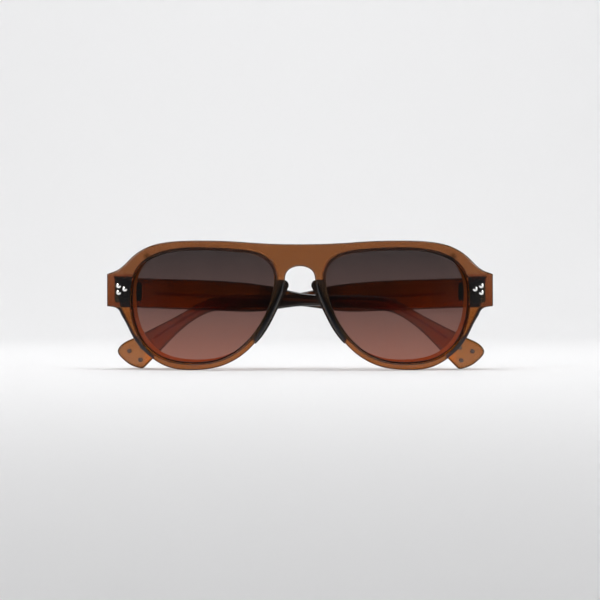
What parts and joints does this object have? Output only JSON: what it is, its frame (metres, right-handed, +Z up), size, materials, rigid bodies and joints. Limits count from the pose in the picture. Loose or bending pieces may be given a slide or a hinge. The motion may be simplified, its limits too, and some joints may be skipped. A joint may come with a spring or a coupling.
{
  "type": "aviator sunglasses",
  "caption": "Folded aviator sunglasses: wrapped acetate front with keyhole bridge and nose pads, tinted lenses, riveted barrel hinges and wire-cored temples",
  "frame": {"origin": "centre of the bounding box's bottom, on the surface the folded pair stands on", "axes": "+Z up towards the brow, the front faces -Y, +X is the wearer's left"},
  "size_m": [0.145, 0.0272, 0.0483],
  "materials": {
    "acetate": "polished translucent brown",
    "pad_acetate": "polished dark brown",
    "lens_tint": "polished, brown gradient tint",
    "hinge_steel": "dark satin",
    "screw_steel": "satin",
    "pin_metal": "dark polished",
    "rivet_metal": "polished",
    "core_wire": "drawn wire"
  },
  "bodies": {
    "front": {"front_frame": "acetate", "lens_left": "lens_tint", "lens_right": "lens_tint", "nose_pad_left": "pad_acetate", "nose_pad_right": "pad_acetate", "front_hinge_leaf_left": "hinge_steel", "front_hinge_leaf_right": "hinge_steel", "hinge_screw_left": "screw_steel", "hinge_screw_right": "screw_steel", "front_rivets_left": "rivet_metal", "front_rivets_right": "rivet_metal"},
    "left_temple": {"temple_left": "acetate", "temple_hinge_leaf_left": "hinge_steel", "core_wire_left": "core_wire", "temple_rivets_left": "rivet_metal", "tip_rivets_left": "pin_metal"},
    "right_temple": {"temple_right": "acetate", "temple_hinge_leaf_right": "hinge_steel", "core_wire_right": "core_wire", "temple_rivets_right": "rivet_metal", "tip_rivets_right": "pin_metal"}
  },
  "joints": [
    {"name": "left_hinge", "type": "hinge", "parent": "front", "child": "left_temple", "pos_m": [0.0673, 0.00457, 0.02987], "axis": [0, 0, -1], "range_deg": [0, 88.4]},
    {"name": "right_hinge", "type": "hinge", "parent": "front", "child": "right_temple", "pos_m": [-0.0673, 0.00457, 0.02987], "axis": [0, 0, 1], "range_deg": [0, 91.6]}
  ]
}
